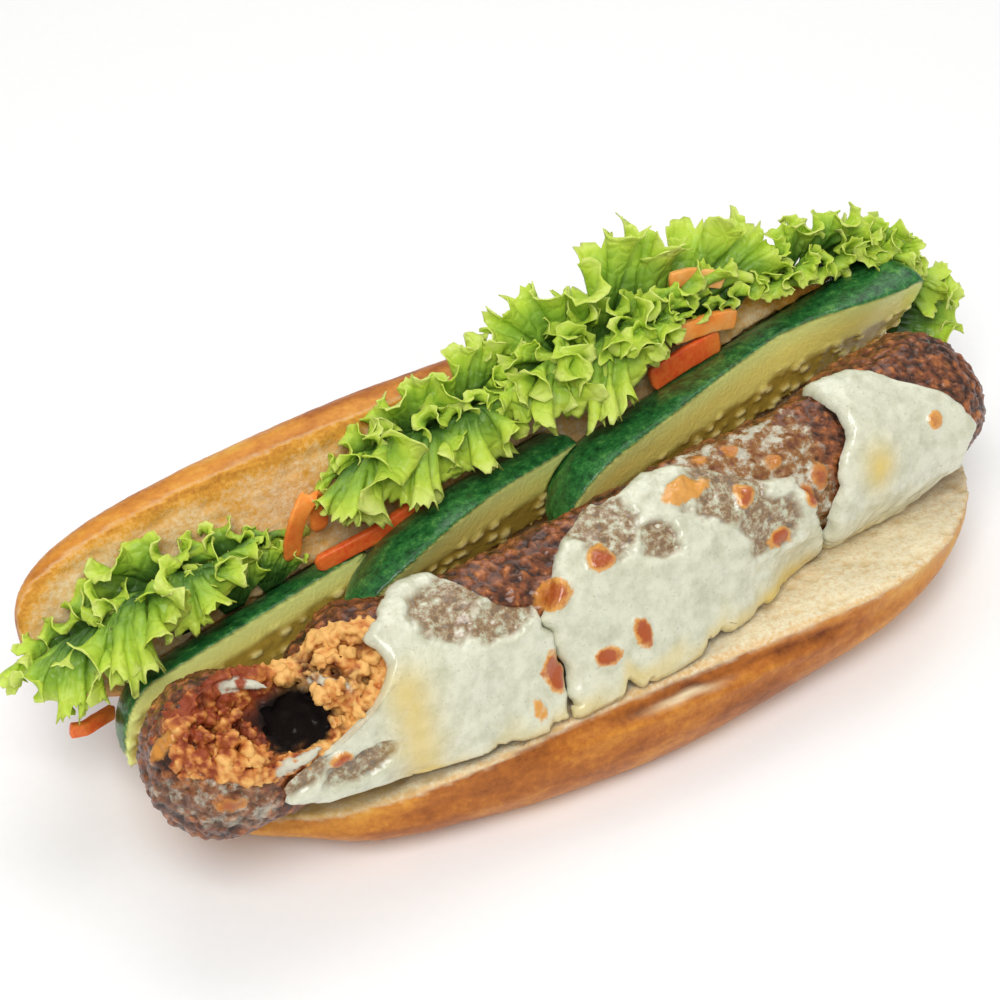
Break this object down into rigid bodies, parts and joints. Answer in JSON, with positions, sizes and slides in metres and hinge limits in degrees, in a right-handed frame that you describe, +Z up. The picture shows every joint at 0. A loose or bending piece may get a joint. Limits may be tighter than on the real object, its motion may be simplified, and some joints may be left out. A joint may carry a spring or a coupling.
{
  "type": "sandwich",
  "caption": "Banh mi sandwich: an opened crusty baguette roll with a long grilled minced meat roll under melted cheese, cucumber spears, frilly lettuce and carrot strips.",
  "frame": {"origin": "Middle of the flat foot of the bread, on the table, under the middle of the meat roll.", "axes": "+X along the roll towards its closed right end, +Y towards the back half of the bread, +Z up."},
  "size_m": [0.2867, 0.1094, 0.0963],
  "materials": {
    "bread": "matte",
    "meat": "satin",
    "cheese": "satin",
    "cucumber": "satin",
    "lettuce": "satin",
    "carrot": "satin"
  },
  "bodies": {
    "root": {"bread": "bread", "meat_roll": "meat", "cheese_left": "cheese", "cheese_middle": "cheese", "cheese_right": "cheese", "cucumber_left": "cucumber", "cucumber_middle": "cucumber", "cucumber_right": "cucumber", "lettuce_left_back": "lettuce", "lettuce_left_front": "lettuce", "lettuce_middle_back": "lettuce", "lettuce_middle_front": "lettuce", "lettuce_upper_back": "lettuce", "lettuce_upper_front": "lettuce", "lettuce_right_back": "lettuce", "lettuce_right_end": "lettuce", "carrot_loop": "carrot", "carrot_long": "carrot", "carrot_upper": "carrot", "carrot_lower": "carrot", "carrot_top": "carrot", "carrot_end": "carrot"}
  },
  "joints": []
}
